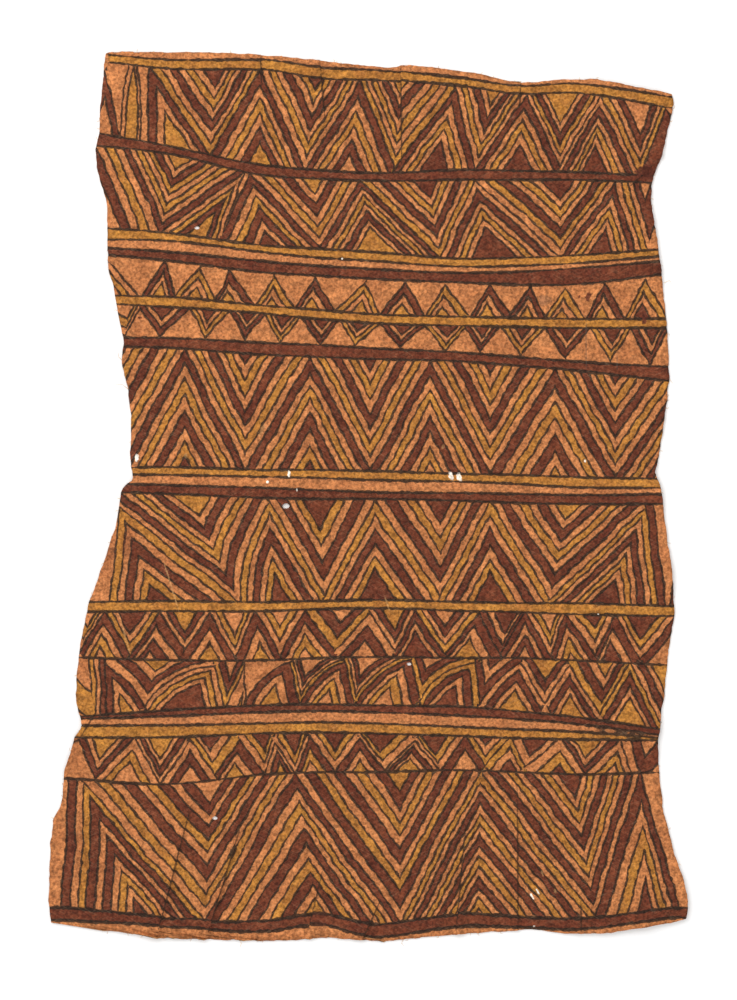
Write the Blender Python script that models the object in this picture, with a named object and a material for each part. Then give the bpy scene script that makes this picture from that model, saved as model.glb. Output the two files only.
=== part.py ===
"""A painted bark cloth, opened out flat: one sheet of beaten bark with old fold lines and small tucks.

Metres, +Z up. The cloth lies on z = 0, its long side runs along Y and the painted face looks up.
The origin is on the underside, at the middle of the sheet.
"""

from collections import namedtuple

import bmesh
import bpy
from mathutils import Vector, noise

NAME = "bark_cloth"
MM = 0.001

THICKNESS = 1.4 * MM  # beaten bark with its layer of paint
CELL = 13.5 * MM  # about the size of the sheet mesh's cells

# The four edges of the sheet in millimetres, as they were torn and trimmed.
# Columns of the two sides: place is the height up the sheet, reach is how far right the edge lies.
LEFT_EDGE = (
    (-471, -348), (-452, -351), (-387, -350), (-355, -346), (-342, -338), (-303, -334),
    (-268, -324), (-252, -314), (-226, -321), (-201, -321), (-152, -315), (-115, -306),
    (-82, -294), (-36, -278), (8, -271), (19, -258), (49, -262), (84, -260), (116, -264),
    (151, -272), (169, -268), (204, -276), (230, -279), (247, -286), (322, -287), (359, -298),
    (383, -300), (399, -296), (436, -294), (488, -288),
)
RIGHT_EDGE = (
    (-466, 349), (-449, 352), (-433, 350), (-394, 337), (-337, 323), (-306, 320), (-276, 318),
    (-229, 324), (-158, 332), (-131, 337), (-80, 334), (-51, 329), (8, 322), (27, 315),
    (53, 321), (90, 326), (129, 331), (190, 328), (234, 323), (281, 318), (327, 310),
    (353, 314), (373, 322), (404, 330), (433, 336), (445, 333),
)
# Columns of the two ends: place is how far to the right, reach is how high the edge lies.
TOP_EDGE = (
    (-288, 488), (-163, 488), (-118, 485), (-52, 479), (30, 470), (37, 475), (67, 472),
    (118, 465), (168, 454), (215, 458), (254, 458), (315, 445), (333, 445),
)
BOTTOM_EDGE = (
    (-348, -471), (-316, -474), (-275, -479), (-226, -485), (-100, -489), (-44, -485),
    (-6, -488), (36, -487), (95, -482), (182, -476), (219, -481), (264, -480), (327, -469),
    (349, -466),
)
FAR_LEFT, FAR_RIGHT = BOTTOM_EDGE[0][0], BOTTOM_EDGE[-1][0]
ROW_STOPS = (-471, -355, -342, -252, -115, 8, 19, 116, 247, 359, 383, 399, 488)  # sharp corners
FRAY = 1.3 * MM  # how far the torn edges wander from the tables
FRAY_LENGTH = 11 * MM

# Small tucks: the cloth laps over itself along a line that starts at an edge and dies out inside.
# In millimetres. Looking up the sheet, a face of 1 drops to the right of the line, -1 to the left.
Tuck = namedtuple("Tuck", "edge_x edge_y inner_x inner_y height face")
TUCKS = (
    Tuck(-231, -480, -193, -334, 3.0, 1),
    Tuck(-176, -480, -136, -350, 3.2, 1),
    Tuck(-67, -483, -48, -403, 2.6, -1),
    Tuck(-6, -487, 14, -443, 2.4, 1),
    Tuck(97, -474, 108, -355, 3.4, -1),
    Tuck(165, -474, 164, -315, 2.0, 1),
    Tuck(234, -480, 234, -445, 1.6, 1),
    Tuck(-53, 479, -47, 410, 2.8, 1),
    Tuck(36, 474, 37, 361, 2.8, -1),
    Tuck(168, 454, 166, 425, 1.8, 1),
    Tuck(-118, 485, -117, 452, 1.6, 1),
    Tuck(314, 365, 288, 341, 2.6, 1),
    Tuck(-319, -270, -296, -232, 2.4, -1),
)
LAP_WIDTH = 16 * MM  # how far the raised back of a tuck reaches
LAP_DROP = 2.5 * MM  # width of the steep side
FADE = 0.6  # the share of a tuck's length over which it dies out

# Old fold lines that cross the whole sheet, in millimetres. The cloth stands a little proud along them.
Fold = namedtuple("Fold", "left_y right_y height width")
FOLDS = (
    Fold(258, 249, 2.2, 30),
    Fold(14, 10, 3.0, 34),
    Fold(-248, -265, 2.4, 28),
)

# Waves that run in from each edge and lie down inside: height, length along the edge, reach inwards.
Wave = namedtuple("Wave", "height length reach")
BROAD_WAVE = Wave(5.5 * MM, 110 * MM, 150 * MM)
EDGE_CURL = Wave(7.0 * MM, 55 * MM, 48 * MM)
PRESSED = 0.15  # the part of a wave that the cloth's own weight presses flat


def read_edge(edge, place):
    """How far an edge reaches at a place along it, in metres."""
    at = place / MM
    for (near, near_reach), (far, far_reach) in zip(edge, edge[1:]):
        if at <= far:
            break
    share = min(max((at - near) / (far - near), 0), 1)
    return (near_reach + (far_reach - near_reach) * share) * MM


def fray(x, y):
    """How far the torn edge wanders here."""
    return FRAY * noise.noise(Vector((x, y, 0)) / FRAY_LENGTH)


def graded(stops):
    """Places in metres from the first stop to the last: even cells between each two stops."""
    places = [stops[0] * MM]
    for near, far in zip(stops, stops[1:]):
        cells = max(1, round((far - near) * MM / CELL))
        places += [(near + (far - near) * (i + 1) / cells) * MM for i in range(cells)]
    return places


def cut_sheet():
    """A flat grid stretched between the four edges. Its rows meet the corners of the left edge."""
    rows = graded(ROW_STOPS)
    columns = graded((FAR_LEFT, FAR_RIGHT))
    bm = bmesh.new()
    bmesh.ops.create_grid(bm, x_segments=len(columns) - 1, y_segments=len(rows) - 1, size=0.5)
    low, high = rows[0], rows[-1]
    for vert in bm.verts:
        u = vert.co.x + 0.5
        v = (rows[round((vert.co.y + 0.5) * (len(rows) - 1))] - low) / (high - low)
        left_y = low + (high - low) * v
        right_y = (RIGHT_EDGE[0][0] + (RIGHT_EDGE[-1][0] - RIGHT_EDGE[0][0]) * v) * MM
        bottom_x = (FAR_LEFT + (FAR_RIGHT - FAR_LEFT) * u) * MM
        top_x = (TOP_EDGE[0][0] + (TOP_EDGE[-1][0] - TOP_EDGE[0][0]) * u) * MM
        left, right = read_edge(LEFT_EDGE, left_y), read_edge(RIGHT_EDGE, right_y)
        bottom, top = read_edge(BOTTOM_EDGE, bottom_x), read_edge(TOP_EDGE, top_x)
        vert.co = Vector((left + (right - left) * u, bottom + (top - bottom) * v, 0))
    for vert in bm.verts:
        if vert.is_boundary:
            wander = fray(vert.co.x, vert.co.y)
            vert.co += Vector((wander, -wander, 0))
    return bm


def score(bm, start, end, offset):
    """Cuts an edge along a line through the cells near it, so that a fold can bend there."""
    along = (end - start).normalized()
    across = Vector((along.y, -along.x, 0))
    through = start + across * offset
    faces = []
    for face in bm.faces:
        way = face.calc_center_median() - through
        if abs(way.dot(across)) < CELL and -CELL < way.dot(along) < (end - start).length:
            faces.append(face)
    edges = {edge for face in faces for edge in face.edges}
    verts = {vert for face in faces for vert in face.verts}
    geom = faces + sorted(edges, key=lambda e: e.index) + sorted(verts, key=lambda v: v.index)
    bmesh.ops.bisect_plane(bm, geom=geom, dist=0.5 * MM, plane_co=through, plane_no=across)
    for kind in (bm.verts, bm.edges, bm.faces):
        kind.index_update()


def smooth(value):
    """A soft step from 0 to 1."""
    value = min(max(value, 0), 1)
    return value * value * (3 - 2 * value)


def tuck_ends(tuck):
    """Where a tuck starts at the sheet's edge and where it dies out, in metres."""
    edge = Vector((tuck.edge_x, tuck.edge_y, 0)) * MM
    return edge, Vector((tuck.inner_x, tuck.inner_y, 0)) * MM


def tuck_height(tuck, point):
    """The height of a tuck here: steep on one side of its line, a long slope on the other."""
    start, end = tuck_ends(tuck)
    along = (end - start).normalized()
    right = Vector((abs(along.y), -along.x if along.y > 0 else along.x, 0))
    way = Vector((point.x, point.y, 0)) - start
    run = way.dot(along) / (end - start).length
    if run > 1:
        return 0
    off = way.dot(right) * tuck.face
    side = 1 - off / LAP_DROP if off > 0 else 1 + off / LAP_WIDTH
    return tuck.height * MM * max(side, 0) * smooth((1 - run) / FADE)


def fold_height(fold, point):
    """The height of a ridge along an old fold line here."""
    share = (point.x / MM - FAR_LEFT) / (FAR_RIGHT - FAR_LEFT)
    away = abs(point.y / MM - fold.left_y - (fold.right_y - fold.left_y) * share)
    uneven = 1 + noise.noise(Vector((point.x, fold.left_y, 0)) / BROAD_WAVE.length)
    return fold.height * MM * uneven * max(1 - away / fold.width, 0)


def wave_height(wave, side, place, away):
    """The height of a wave at a place along one side of the sheet, so far in from it."""
    swing = noise.noise(Vector((place / wave.length, side, wave.height / MM))) - PRESSED
    return wave.height * max(swing, 0) * smooth(1 - max(away, 0) / wave.reach)


def lift(point):
    """How far the underside stands off the ground here: 0 over most of the sheet."""
    sides = (
        (point.y, point.x - read_edge(LEFT_EDGE, point.y)),
        (point.y, read_edge(RIGHT_EDGE, point.y) - point.x),
        (point.x, read_edge(TOP_EDGE, point.x) - point.y),
        (point.x, point.y - read_edge(BOTTOM_EDGE, point.x)),
    )
    waves = sum(
        wave_height(wave, side, place, away)
        for side, (place, away) in enumerate(sides)
        for wave in (BROAD_WAVE, EDGE_CURL)
    )
    return waves + sum(fold_height(fold, point) for fold in FOLDS)


def thicken(bm):
    """Gives the flat sheet its thickness, then raises it along its folds, tucks and waves."""
    bmesh.ops.recalc_face_normals(bm, faces=bm.faces)
    if next(iter(bm.faces)).normal.z < 0:
        bmesh.ops.reverse_faces(bm, faces=bm.faces)
    bmesh.ops.solidify(bm, geom=bm.faces[:], thickness=THICKNESS)
    lowest = min(vert.co.z for vert in bm.verts)
    for vert in bm.verts:
        top = vert.co.z - lowest > THICKNESS / 2
        height = lift(vert.co)
        if top:
            height += THICKNESS + max(tuck_height(tuck, vert.co) for tuck in TUCKS)
        vert.co.z = height
    bm.normal_update()


def merge_flat_underside(bm):
    """Joins the cells of the underside that lie flat on the ground into a few large faces."""
    level = 1e-7
    flat = [face for face in bm.faces if all(vert.co.z < level for vert in face.verts)]
    edges = {edge for face in flat for edge in face.edges if all(f in flat for f in edge.link_faces)}
    bmesh.ops.dissolve_limit(bm, angle_limit=0.001, edges=list(edges), verts=[])


def centre(bm):
    """Moves the origin to the middle of the sheet."""
    middle_x = (min(v.co.x for v in bm.verts) + max(v.co.x for v in bm.verts)) / 2
    middle_y = (min(v.co.y for v in bm.verts) + max(v.co.y for v in bm.verts)) / 2
    bmesh.ops.translate(bm, verts=bm.verts, vec=(-middle_x, -middle_y, 0))


def bark_finish():
    """Beaten bark under earth paints: matt, brown and ochre seen from afar."""
    material = bpy.data.materials.new("painted_bark")
    material.use_nodes = True
    shader = material.node_tree.nodes["Principled BSDF"]
    shader.inputs["Base Color"].default_value = (0.34, 0.15, 0.06, 1)
    shader.inputs["Roughness"].default_value = 0.9
    shader.inputs["Metallic"].default_value = 0
    return material


def make_cloth(collection):
    bm = cut_sheet()
    for tuck in TUCKS:
        start, end = tuck_ends(tuck)
        face = tuck.face if end.y > start.y else -tuck.face
        for offset in (0, face * LAP_DROP):
            score(bm, start, end, offset)
    for fold in FOLDS:
        start = Vector((FAR_LEFT, fold.left_y, 0)) * MM
        end = Vector((FAR_RIGHT, fold.right_y, 0)) * MM
        for offset in (-fold.width * MM, 0, fold.width * MM):
            score(bm, start, end, offset)
    thicken(bm)
    merge_flat_underside(bm)
    centre(bm)
    mesh = bpy.data.meshes.new(NAME)
    bm.to_mesh(mesh)
    bm.free()
    mesh.materials.append(bark_finish())
    cloth = bpy.data.objects.new(NAME, mesh)
    collection.objects.link(cloth)
    mesh.shade_smooth()
    mesh.set_sharp_from_angle(angle=0.7)


for old in list(bpy.data.objects):
    bpy.data.objects.remove(old, do_unlink=True)
sheet_collection = bpy.data.collections.new("painted_bark_cloth")
bpy.context.scene.collection.children.link(sheet_collection)
make_cloth(sheet_collection)
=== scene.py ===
"""The looks of a painted bark cloth: its torn and creased sheet, its earth paints, its loose fibres."""

import random
from collections import namedtuple

import bmesh
import bpy
import numpy as np
from mathutils import Matrix, Vector, noise
from mathutils.bvhtree import BVHTree


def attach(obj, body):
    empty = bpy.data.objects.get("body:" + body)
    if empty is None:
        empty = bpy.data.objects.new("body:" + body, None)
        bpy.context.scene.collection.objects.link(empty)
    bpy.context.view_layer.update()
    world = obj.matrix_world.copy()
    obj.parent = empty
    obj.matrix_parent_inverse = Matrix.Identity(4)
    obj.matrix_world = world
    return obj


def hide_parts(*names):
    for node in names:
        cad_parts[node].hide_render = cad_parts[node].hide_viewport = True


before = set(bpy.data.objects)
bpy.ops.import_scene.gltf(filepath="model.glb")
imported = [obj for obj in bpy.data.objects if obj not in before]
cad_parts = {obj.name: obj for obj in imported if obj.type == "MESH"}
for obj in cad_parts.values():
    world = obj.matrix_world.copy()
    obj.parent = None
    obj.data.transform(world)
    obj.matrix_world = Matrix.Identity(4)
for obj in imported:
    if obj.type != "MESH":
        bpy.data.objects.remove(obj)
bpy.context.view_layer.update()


# The sheet of bark cloth.
# Inner bark, soaked and beaten with a mallet until it felts into one soft sheet about 1.4 mm thick.
# Its edges are torn and trimmed by hand, and it lies opened out after years of being kept folded.
MM = 0.001
THICKNESS = 1.4 * MM
CELL = 4.1 * MM

# The painting's chart is read off the photograph: 1.1 mm a pixel, x to the right and y down.
PIXEL = 1.1 * MM
MIDDLE_X, MIDDLE_Y = 368, 496.5


def chart_x(x):
    """Metres across the sheet to chart pixels."""
    return x / PIXEL + MIDDLE_X


def chart_y(y):
    """Metres up the sheet to chart pixels."""
    return MIDDLE_Y - y / PIXEL


def sheet_x(px):
    """Chart pixels to metres across the sheet."""
    return (px - MIDDLE_X) * PIXEL


def sheet_y(py):
    """Chart pixels to metres up the sheet."""
    return (MIDDLE_Y - py) * PIXEL


# The painted lines that run right across, top to bottom: how far down each lies at these stations.
STATIONS = (68, 168, 268, 318, 368, 468, 518, 568, 668)
LINES = (
    (52, 60, 61, 67, 70, 79, 86, 84, 97),
    (58, 69, 71, 78, 80, 87, 94, 93, 108),
    (128, 146, 166, 170, 173, 170, 171, 172, 177),
    (143, 154, 176, 179, 181, 180, 180, 180, 184),
    (226, 233, 246, 249, 252, 259, 258, 256, 249),
    (240, 241, 253, 258, 261, 267, 266, 264, 256),
    (246, 252, 262, 266, 269, 273, 272, 269, 261),
    (252, 261, 273, 276, 279, 283, 285, 285, 274),
    (296, 297, 306, 310, 314, 317, 318, 319, 319),
    (302, 307, 314, 319, 323, 326, 327, 328, 328),
    (338, 338, 343, 345, 348, 353, 357, 361, 367),
    (346, 348, 355, 357, 359, 362, 366, 370, 381),
    (470, 467, 470, 470, 471, 474, 475, 477, 479),
    (474, 475, 477, 478, 480, 482, 484, 487, 488),
    (482, 485, 488, 490, 492, 493, 494, 495, 494),
    (491, 494, 498, 499, 499, 501, 503, 504, 504),
    (602, 601, 602, 601, 600, 602, 603, 603, 606),
    (612, 611, 611, 609, 608, 611, 612, 614, 616),
    (657, 660, 660, 658, 657, 658, 658, 660, 665),
    (717, 710, 705, 704, 705, 707, 711, 716, 730),
    (719, 716, 712, 711, 712, 716, 719, 723, 736),
    (725, 725, 723, 722, 723, 727, 729, 731, 738),
    (737, 737, 733, 732, 733, 736, 738, 739, 740),
    (778, 784, 774, 772, 772, 770, 772, 774, 772),
    (907, 916, 920, 914, 922, 914, 916, 918, 907),
    (920, 925, 931, 925, 935, 926, 927, 929, 917),
)
# What lies in each course, from the top edge to the bottom edge.
COURSES = (
    "bare", "ochre", "band_a", "brown", "band_b", "ochre", "bare", "brown", "band_c", "ochre",
    "band_d", "brown", "band_e", "ochre", "bare", "brown", "band_f", "ochre", "band_g", "band_h",
    "brown", "bare", "ochre", "band_i", "band_j", "brown", "bare",
)


def read_curve(places, values, at):
    """A smooth curve through values at places, read at any points."""
    places, values = np.asarray(places, float), np.asarray(values, float)
    slopes = np.gradient(values, places)
    at = np.clip(at, places[0], places[-1])
    i = np.clip(np.searchsorted(places, at) - 1, 0, len(places) - 2)
    step = places[i + 1] - places[i]
    t = (at - places[i]) / step
    rise = values[i + 1] - values[i]
    bend = (slopes[i] * (1 - t) - slopes[i + 1] * t) * step + rise * (2 * t - 1)
    return values[i] + rise * t + t * (1 - t) * bend


def measure_reach(axis, levels):
    """How far the folded solid reaches both ways along an axis, at levels along the other one."""
    near, far = points[edges[:, 0]], points[edges[:, 1]]
    lows, highs = [], []
    for level in levels:
        cross = (near[:, 1 - axis] <= level) != (far[:, 1 - axis] <= level)
        a, b = near[cross], far[cross]
        share = (level - a[:, 1 - axis]) / (b[:, 1 - axis] - a[:, 1 - axis])
        reach = a[:, axis] + (b[:, axis] - a[:, axis]) * share
        lows.append(reach.min())
        highs.append(reach.max())
    return np.array(lows), np.array(highs)


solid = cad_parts["bark_cloth"].data
points = np.array([v.co for v in solid.vertices])
edges = np.array([e.vertices[:] for e in solid.edges])
low_x, low_y, high_x, high_y = (*points[:, :2].min(axis=0), *points[:, :2].max(axis=0))
top_left = points[(points[:, 1] - points[:, 0]).argmax()]
top_right = points[(points[:, 1] + points[:, 0]).argmax()]
bottom_left = points[(points[:, 1] + points[:, 0]).argmin()]
bottom_right = points[(points[:, 0] - points[:, 1]).argmax()]
LEVEL_START, LEVEL_STEP = 0.2 * MM, 2 * MM
levels_y = np.arange(low_y + LEVEL_START, high_y, LEVEL_STEP)
levels_x = np.arange(low_x + LEVEL_START, high_x, LEVEL_STEP)
left_reach, right_reach = measure_reach(0, levels_y)
bottom_reach, top_reach = measure_reach(1, levels_x)


def line_height(number, x):
    """How high a painted line lies at x. Line 0 is the sheet's top edge, the last its bottom edge."""
    if number == 0:
        return np.interp(np.clip(x, top_left[0], top_right[0]), levels_x, top_reach)
    if number == len(COURSES):
        return np.interp(np.clip(x, bottom_left[0], bottom_right[0]), levels_x, bottom_reach)
    return sheet_y(read_curve(STATIONS, LINES[number - 1], chart_x(x)))


def row_height(level, x):
    """How high a row of the mesh lies at x: level counts the painted lines passed on the way down."""
    course = min(int(level), len(COURSES) - 1)
    upper, lower = line_height(course, x), line_height(course + 1, x)
    return upper + (lower - upper) * (level - course)


ROW_END_STEPS = 6


def row_end(level, side_reach, start):
    """Where a row meets one side of the sheet, found by a few steps from a start."""
    x = start
    for _ in range(ROW_END_STEPS):
        x = np.interp(row_height(level, x), levels_y, side_reach)
    return x


# Tucks: the cloth laps over itself from an edge inwards. In millimetres from the middle of the sheet.
# A face of 1 drops to the right of the line, -1 to the left. The slip is how far the painting right
# of the line is out of step with the left.
Tuck = namedtuple("Tuck", "edge_x edge_y inner_x inner_y height face slip_x slip_y")
TUCKS = (
    Tuck(-231, -480, -193, -334, 3.0, 1, 3, -2),
    Tuck(-176, -480, -136, -350, 3.2, 1, 3, -2),
    Tuck(-67, -483, -48, -403, 2.6, -1, -2, 2),
    Tuck(-6, -487, 14, -443, 2.4, 1, 3, -2),
    Tuck(97, -474, 108, -355, 3.4, -1, -3, 2),
    Tuck(165, -474, 164, -315, 2.0, 1, 0, -1),
    Tuck(234, -480, 234, -445, 1.6, 1, 0, 0),
    Tuck(-53, 479, -47, 410, 2.8, 1, 3, -1),
    Tuck(36, 474, 37, 361, 2.8, -1, -3, 1),
    Tuck(168, 454, 166, 425, 1.8, 1, 2, 0),
    Tuck(-118, 485, -117, 452, 1.6, 1, 2, 1),
    Tuck(314, 365, 288, 341, 2.6, 1, 0, 0),
    Tuck(-319, -270, -296, -232, 2.4, -1, 0, 0),
)
LAP_WIDTH = 14 * MM
LAP_DROP = 1.3 * MM
LAP_FADE = 0.5
PAST_EDGE = -0.1
SLIP_REACH = 45 * MM
SLIP_START = 0.1


def smooth(value):
    """A soft step from 0 to 1."""
    value = np.clip(value, 0, 1)
    return value * value * (3 - 2 * value)


def beside_tuck(tuck, x, y):
    """How far along a tuck a place lies, as a share of its length, and how far to its right."""
    start = np.array((tuck.edge_x, tuck.edge_y)) * MM
    way = np.array((tuck.inner_x, tuck.inner_y)) * MM - start
    length = np.hypot(*way)
    way = way / length
    right = np.array((way[1], -way[0])) * (1 if way[1] > 0 else -1)
    run = ((x - start[0]) * way[0] + (y - start[1]) * way[1]) / length
    return run, (x - start[0]) * right[0] + (y - start[1]) * right[1]


def hold_slip(run, off):
    """How much of a tuck's slip holds at a place to the right of it."""
    along = smooth(run / SLIP_START) * smooth((1 - run) / LAP_FADE) * (run < 1)
    return along * smooth(1 - np.maximum(off, 0) / SLIP_REACH)


rows = [0.0]
for course in range(len(COURSES)):
    height = line_height(course, 0.0) - line_height(course + 1, 0.0)
    steps = max(2, round(height / CELL))
    rows += [course + (i + 1) / steps for i in range(steps)]
columns = round((high_x - low_x) / CELL) + 1
bm = bmesh.new()
bmesh.ops.create_grid(bm, x_segments=columns - 1, y_segments=len(rows) - 1, size=0.5)
bm.verts.ensure_lookup_table()
across = np.linspace(0, 1, columns)
grid_x = np.empty((len(rows), columns))
grid_y = np.empty((len(rows), columns))
for i, level in enumerate(rows):
    left, right = row_end(level, left_reach, top_left[0]), row_end(level, right_reach, top_right[0])
    grid_x[i] = left + (right - left) * across
    grid_y[i] = row_height(level, grid_x[i])
for tuck in TUCKS:
    run, off = beside_tuck(tuck, grid_x, grid_y)
    hold = (off > 0) * hold_slip(run, off)
    grid_x += tuck.slip_x * MM * hold
    grid_y += tuck.slip_y * MM * hold
for vert in bm.verts:
    i = len(rows) - 1 - round((vert.co.y + 0.5) * (len(rows) - 1))
    j = round((vert.co.x + 0.5) * (columns - 1))
    vert.co = (grid_x[i, j], grid_y[i, j], 0)

# Torn edges wander a little more than the solid does.
Fray = namedtuple("Fray", "reach length")
FRAYS = (Fray(0.8 * MM, 6 * MM), Fray(0.45 * MM, 2.4 * MM))
# The vector noise starts from this seed, so that each run tears the same edge.
noise.seed_set(7)
for vert in bm.verts:
    if vert.is_boundary:
        for fray in FRAYS:
            wander = noise.noise_vector(vert.co / fray.length)
            vert.co += Vector((wander.x, wander.y, 0)) * fray.reach


def nearby_geometry(test):
    """The faces whose middle passes a test, with their edges and corners, in a fixed order."""
    for kind in (bm.verts, bm.edges, bm.faces):
        kind.index_update()
    faces = [face for face in bm.faces if test(face.calc_center_median())]
    lines = sorted({edge for face in faces for edge in face.edges}, key=lambda e: e.index)
    corners = sorted({vert for face in faces for vert in face.verts}, key=lambda v: v.index)
    return faces + lines + corners


CUT_SNAP = 0.05 * MM


def cut_line(geometry, x, y, normal):
    """Cuts some faces along a straight line, and gives back all of them with the new ones."""
    cut = bmesh.ops.bisect_plane(
        bm, geom=geometry, dist=CUT_SNAP, plane_co=(x, y, 0), plane_no=normal
    )
    return cut["geom"]


for tuck in TUCKS:
    start = Vector((tuck.edge_x, tuck.edge_y, 0)) * MM
    way = (Vector((tuck.inner_x, tuck.inner_y, 0)) * MM - start).normalized()
    right = Vector((way.y, -way.x, 0)) * (1 if way.y > 0 else -1)

    def near_tuck(middle, tuck=tuck):
        run, off = beside_tuck(tuck, middle.x, middle.y)
        return PAST_EDGE < run < 1 and abs(off) < 2 * CELL

    geometry = nearby_geometry(near_tuck)
    for offset in (0, tuck.face * LAP_DROP):
        at = start + right * offset
        geometry = cut_line(geometry, at.x, at.y, right)

# Holes worn or eaten through, in chart pixels.
Hole = namedtuple("Hole", "x y width height")
HOLES = (
    Hole(197, 228, 5, 3), Hole(286, 506, 7, 5), Hole(215, 818, 5, 3.4), Hole(409, 664, 4.4, 3),
    Hole(534, 926, 2.6, 1.8),
)
HOLE_SIDES, HOLE_TURN = 9, 0.3
HOLE_RAGGED = 0.25
for hole in HOLES:
    middle = Vector((sheet_x(hole.x), sheet_y(hole.y), 0))
    half = Vector((hole.width, hole.height)) * PIXEL / 2

    def near_hole(point, middle=middle, half=half):
        return (point - middle).length < half.x + CELL

    def in_hole(point, middle=middle, half=half):
        return ((point.x - middle.x) / half.x) ** 2 + ((point.y - middle.y) / half.y) ** 2 < 1

    geometry = nearby_geometry(near_hole)
    for side in range(HOLE_SIDES):
        turn = np.pi * 2 * (side + HOLE_TURN) / HOLE_SIDES
        ragged = 1 + HOLE_RAGGED * noise.noise(Vector((side, hole.x, hole.y)))
        edge = Vector((np.cos(turn) * half.x, np.sin(turn) * half.y, 0)) * ragged
        normal = (np.cos(turn) / half.x, np.sin(turn) / half.y, 0)
        geometry = cut_line(geometry, middle.x + edge.x, middle.y + edge.y, normal)
    gone = [face for face in bm.faces if in_hole(face.calc_center_median())]
    bmesh.ops.delete(bm, geom=gone, context="FACES")

# Soft ridges left by old folds, in chart pixels, their heights and widths in millimetres. The broad
# troughs come from the solid.
Crease = namedtuple("Crease", "x0 y0 x1 y1 height width")
CREASES = (
    Crease(325, 78, 326, 130, 0.9, 9), Crease(401, 80, 401, 172, 0.9, 9),
    Crease(512, 100, 513, 172, 0.6, 8), Crease(585, 283, 586, 374, 0.6, 8),
    Crease(164, 556, 182, 618, 0.7, 7), Crease(385, 595, 390, 612, 0.7, 7),
    Crease(120, 614, 131, 655, 0.7, 7), Crease(94, 900, 95, 926, 0.8, 6),
    Crease(181, 905, 182, 932, 0.7, 6), Crease(147, 905, 150, 936, 0.7, 6),
    Crease(232, 770, 250, 900, 0.8, 12), Crease(462, 70, 480, 110, 0.6, 8),
    Crease(90, 640, 660, 652, 0.6, 14), Crease(110, 400, 660, 412, 0.5, 14),
)
COCKLE = 0.5 * MM
COCKLE_LENGTH = 70 * MM
SAMPLE = 7 * MM
INWARD_PULLS = (1, 0.99, 0.975, 0.95)
underside = BVHTree.FromPolygons(
    [v.co for v in solid.vertices], [face.vertices[:] for face in solid.polygons]
)


def read_lift(x, y):
    """How high the solid's underside stands here, read a little further in past the solid's edge."""
    for pull in INWARD_PULLS:
        hit = underside.ray_cast(Vector((x * pull, y * pull, -1)), Vector((0, 0, 1)))[0]
        if hit:
            return max(hit.z, 0)
    return 0


def soft_lift(x, y):
    """The lift evened out over a few millimetres, so that the solid's facets don't show."""
    around = ((0, 0), (SAMPLE, 0), (-SAMPLE, 0), (0, SAMPLE), (0, -SAMPLE))
    return sum(read_lift(x + dx, y + dy) for dx, dy in around) / len(around)


places = np.array([vert.co for vert in bm.verts])
heights = np.zeros(len(places))
for tuck in TUCKS:
    run, off = beside_tuck(tuck, places[:, 0], places[:, 1])
    off = off * tuck.face
    side = np.where(off > 0, 1 - off / LAP_DROP, smooth(1 + off / LAP_WIDTH))
    rise = tuck.height * MM * np.clip(side, 0, 1) * smooth((1 - run) / LAP_FADE) * (run < 1)
    heights = np.maximum(heights, rise)
for crease in CREASES:
    start = np.array((sheet_x(crease.x0), sheet_y(crease.y0)))
    way = np.array((sheet_x(crease.x1), sheet_y(crease.y1))) - start
    length = np.hypot(*way)
    way = way / length
    along = (places[:, :2] - start) @ way
    off = (places[:, :2] - start) @ np.array((way[1], -way[0]))
    ends = smooth(np.minimum(along, length - along) / (crease.width * MM) + 0.5)
    heights += crease.height * MM * smooth(1 - np.abs(off) / (crease.width * MM)) * ends
for vert, height in zip(bm.verts, heights):
    x, y = vert.co.x, vert.co.y
    swell = 0.5 + noise.noise(Vector((x, y, 0)) / COCKLE_LENGTH)
    vert.co.z = soft_lift(x, y) + height + COCKLE * max(swell, 0) + THICKNESS

# The painted side faces up.
bmesh.ops.recalc_face_normals(bm, faces=bm.faces)
if sum(face.normal.z * face.calc_area() for face in bm.faces) < 0:
    bmesh.ops.reverse_faces(bm, faces=bm.faces)
flat_area = sum(face.calc_area() for face in bm.faces)
cloth_mesh = bpy.data.meshes.new("painted_bark_cloth")
bm.to_mesh(cloth_mesh)
bm.free()
cloth_mesh.shade_smooth()


def add_object(name, data):
    """A new object in the scene."""
    made = bpy.data.objects.new(name, data)
    bpy.context.scene.collection.objects.link(made)
    return made


cloth = add_object("painted_bark_cloth", cloth_mesh)
solidify = cloth.modifiers.new("thickness", "SOLIDIFY")
solidify.thickness = THICKNESS
solidify.offset = -1
solidify.use_rim = True
solidify.material_offset = 1
solidify.material_offset_rim = 1

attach(cloth, "root")
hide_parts("bark_cloth")


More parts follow.
